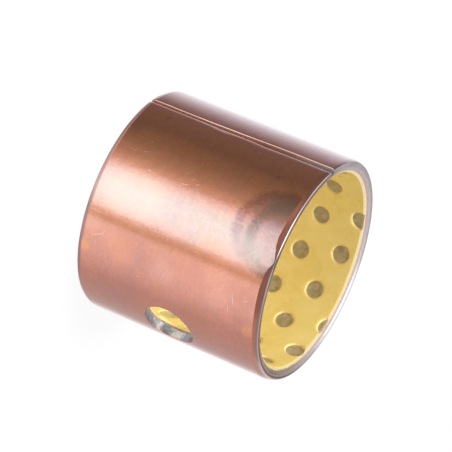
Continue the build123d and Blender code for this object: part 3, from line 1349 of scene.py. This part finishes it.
def roll_up(bm):
    """Roll the flat sheet: along the strip becomes an angle, and depth becomes radius."""
    for vertex in bm.verts:
        angle = radians(seam_angle) + vertex.co.x / bore_radius
        radius = bore_radius + vertex.co.z
        vertex.co = (radius * cos(angle), radius * sin(angle), vertex.co.y)


add_back(lining)
roll_up(lining)
bore_lining = finish_mesh(lining, "lining_with_pockets", acetal)

# %% [markdown]
# ## Where the finished pieces belong
#
# Each finished mesh stands for one solid of the frame, which is hidden, and rides on the only
# body of the bush.

# %% Replace the three solids
for piece, node, finish in (
    (backing, "steel_backing", "copper_plated_steel"),
    (bronze_layer, "bronze_interlayer", "sintered_bronze"),
    (bore_lining, "acetal_lining", "yellow_acetal"),
):
    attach(piece, "root")
    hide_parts(node)
    print(piece.name, "replaces", node)


# %% [markdown]
# ## The studio
#
# Bright metal shows its surroundings more than itself, so the studio is part of the finish: a
# white softbox, a narrow gap beside it, a wide half-bright panel, and dark card between. They are
# painted in the world for glossy rays alone. Diffuse rays see one plain level, and the camera
# sees white. The floor is white too, but keeps the soft shadow of the bush. Glossy rays don't
# see it, so a last ring of panels, below the others, stands in for it.

# %% List the panels round the bush
# Each stop is (azimuth in degrees, red, green, blue), and each ring closes where it began.
low_ring = [
    (-180, 1.08, 1.12, 1.12), (-172, 1.26, 1.82, 2.02), (-160, 1.26, 2.14, 2.55),
    (-146, 1.26, 2.06, 2.42), (-135, 1.30, 1.76, 1.94), (-131, 0.99, 0.95, 0.84),
    (-124, 0.73, 0.60, 0.40), (-119, 1.02, 1.01, 1.00), (-92, 0.98, 0.96, 0.96),
    (-60, 0.64, 0.56, 0.54), (-30, 0.56, 0.53, 0.54), (-6, 0.57, 0.55, 0.57),
    (12, 0.98, 0.94, 0.96), (44, 0.97, 1.06, 1.11), (60, 0.72, 0.87, 1.04),
    (86, 0.27, 0.25, 0.28), (104, 0.215, 0.185, 0.155), (128, 0.19, 0.16, 0.115),
    (150, 0.31, 0.26, 0.165), (166, 0.51, 0.44, 0.32), (176, 0.80, 0.69, 0.55),
]
floor_ring = [
    (-180, 0.88, 0.97, 1.08), (-145, 1.02, 1.20, 1.34), (-114, 0.58, 0.60, 0.68),
    (-88, 0.68, 0.70, 0.80), (-40, 0.47, 0.42, 0.50), (40, 0.47, 0.42, 0.50),
    (92, 0.36, 0.33, 0.36), (144, 0.64, 0.60, 0.68), (172, 0.82, 0.90, 1.00),
]
middle_ring = [
    (-180, 0.38, 0.28, 0.28), (-136, 0.33, 0.25, 0.26), (-116, 0.30, 0.24, 0.24),
    (-98, 0.33, 0.27, 0.27), (-84, 0.50, 0.42, 0.40), (-50, 0.50, 0.45, 0.48),
    (-10, 0.84, 0.82, 0.88), (20, 0.76, 0.72, 0.76), (44, 0.24, 0.20, 0.22),
    (84, 0.20, 0.17, 0.18), (106, 0.17, 0.15, 0.14), (140, 0.22, 0.18, 0.15),
    (160, 0.50, 0.40, 0.34), (172, 0.45, 0.34, 0.31),
]
shelf_ring = [
    (-180, 0.36, 0.27, 0.28), (-110, 0.34, 0.28, 0.28), (-60, 0.60, 0.56, 0.58),
    (0, 0.84, 0.80, 0.84), (50, 0.84, 0.80, 0.84), (90, 0.45, 0.42, 0.44),
    (140, 0.30, 0.24, 0.22),
]
high_ring = [
    (-180, 5.0, 5.0, 5.0), (-150, 4.5, 4.5, 4.5), (-128, 1.0, 1.0, 1.0), (-105, 0.5, 0.5, 0.5),
    (-60, 0.6, 0.6, 0.6), (-22, 1.0, 1.0, 1.0), (12, 0.9, 0.9, 0.9), (40, 0.6, 0.6, 0.6),
    (70, 0.7, 0.7, 0.7), (94, 1.5, 1.4, 1.4), (118, 1.8, 1.7, 1.7), (134, 1.6, 1.5, 1.5),
    (150, 2.5, 2.5, 2.5), (165, 5.0, 5.0, 5.0),
]
# Laid over the low ring in this order: (name, height where it starts to show, height where it
# shows alone, stops). A height is the Z of the direction, -1 straight down and 1 straight up.
upper_rings = [
    ("floor ring", -0.52, -0.66, floor_ring),
    ("middle ring", -0.05, 0.03, middle_ring),
    ("shelf", 0.31, 0.36, shelf_ring),
    ("high ring", 0.50, 0.60, high_ring),
]
crown_starts, crown_alone = 0.88, 0.94
crown_colour = (1.3, 1.3, 1.3)
plain_colour = (0.64, 0.64, 0.64, 1)


def panels(tree, part, name, stops):
    """A ring of studio panels round the bush, as a socket."""
    print(name, "has", len(stops), "panels")
    closed = stops + [(180, *stops[0][1:])]
    return ramp(tree, part, *[((azimuth + 180) / 360, *level) for azimuth, *level in closed])


# %% Paint the world
def build_world():
    """White for the camera, studio panels for reflections, and a plain level for the rest."""
    world = bpy.data.worlds.new("studio")
    world.use_nodes = True
    tree = world.node_tree
    tree.nodes.clear()
    direction = split(tree, add_node(tree, "ShaderNodeTexCoord")["Generated"])
    angle = math(tree, "ARCTAN2", direction["Y"], direction["X"])
    part = math(tree, "MULTIPLY_ADD", angle, 0.5 / pi, 0.5)
    studio = panels(tree, part, "low ring", low_ring)
    for name, starts, alone, stops in upper_rings:
        shown = map_range(tree, direction["Z"], starts, alone)
        studio = mix_colour(tree, shown, studio, panels(tree, part, name, stops))
    shown = map_range(tree, direction["Z"], crown_starts, crown_alone)
    studio = tinted(tree, studio, crown_colour, shown)
    path = add_node(tree, "ShaderNodeLightPath")
    plain = mix_colour(tree, path["Is Glossy Ray"], plain_colour, studio)
    seen = tinted(tree, plain, (1, 1, 1), path["Is Camera Ray"])
    background = add_node(tree, "ShaderNodeBackground", seen)[0]
    add_node(tree, "ShaderNodeOutputWorld", background)
    return world


bpy.context.scene.world = build_world()


# %% Lay the floor and hang the soft light
floor_reach = 0.6
floor_paint = (0.9, 0.9, 0.9, 1)
white_share = 0.92
lamp_place = Vector((-0.06, 0.06, 0.42))


def build_floor():
    """A white floor that the camera sees as white, with a soft shadow."""
    bm = bmesh.new()
    bmesh.ops.create_grid(bm, x_segments=8, y_segments=8, size=floor_reach)
    floor = add_object("floor", plain_mesh(bm, "floor"))
    material = bpy.data.materials.new("white_floor")
    material.use_nodes = True
    tree = material.node_tree
    tree.nodes.clear()
    paint = add_node(tree, "ShaderNodeBsdfDiffuse", floor_paint)[0]
    glow = add_node(tree, "ShaderNodeEmission")[0]
    seen = add_node(tree, "ShaderNodeLightPath")["Is Camera Ray"]
    share = math(tree, "MULTIPLY", seen, white_share)
    mixed = add_node(tree, "ShaderNodeMixShader", share, paint, glow)[0]
    add_node(tree, "ShaderNodeOutputMaterial", mixed)
    floor.data.materials.append(material)
    floor.visible_glossy = False


build_floor()
lamp = bpy.data.lights.new("soft_light", "AREA")
lamp.size = 0.12
lamp.energy = 2.0
soft_light = add_object("soft_light", lamp)
soft_light.location = lamp_place
away = lamp_place - Vector((0, 0, middle_height))
soft_light.rotation_euler = away.to_track_quat("Z", "Y").to_euler()
soft_light.visible_glossy = False
print("soft light", round(away.length, 3), "m from the bush")

# %% [markdown]
# ## The camera
#
# The bush stands on its end, and is seen from a little above, on the side of the seam and the
# grease hole. The camera is turned about its own view, so the bush lies across the frame.

# %% Place the camera
camera_position = (-0.34910, -0.16816, 0.17111)
view_azimuth = 25.89
view_elevation = -22.03
camera_roll = 112.4
camera_lens = 228.93

azimuth, elevation, roll = (radians(a) for a in (view_azimuth, view_elevation, camera_roll))
forward = Vector((cos(azimuth) * cos(elevation), sin(azimuth) * cos(elevation), sin(elevation)))
level_right = forward.cross(Vector((0, 0, 1))).normalized()
level_up = level_right.cross(forward)
right = level_right * cos(roll) + level_up * sin(roll)
up = level_up * cos(roll) - level_right * sin(roll)
turned = Matrix((right, up, -forward)).transposed().to_4x4()
camera_data = bpy.data.cameras.new("camera")
camera_data.lens = camera_lens
camera_data.sensor_width = 36.0
camera = add_object("camera", camera_data)
camera.matrix_world = Matrix.Translation(camera_position) @ turned
bpy.context.scene.camera = camera
bpy.context.scene.view_settings.view_transform = "Standard"
print("camera at", [round(c, 4) for c in camera.location], "right", [round(c, 3) for c in right])
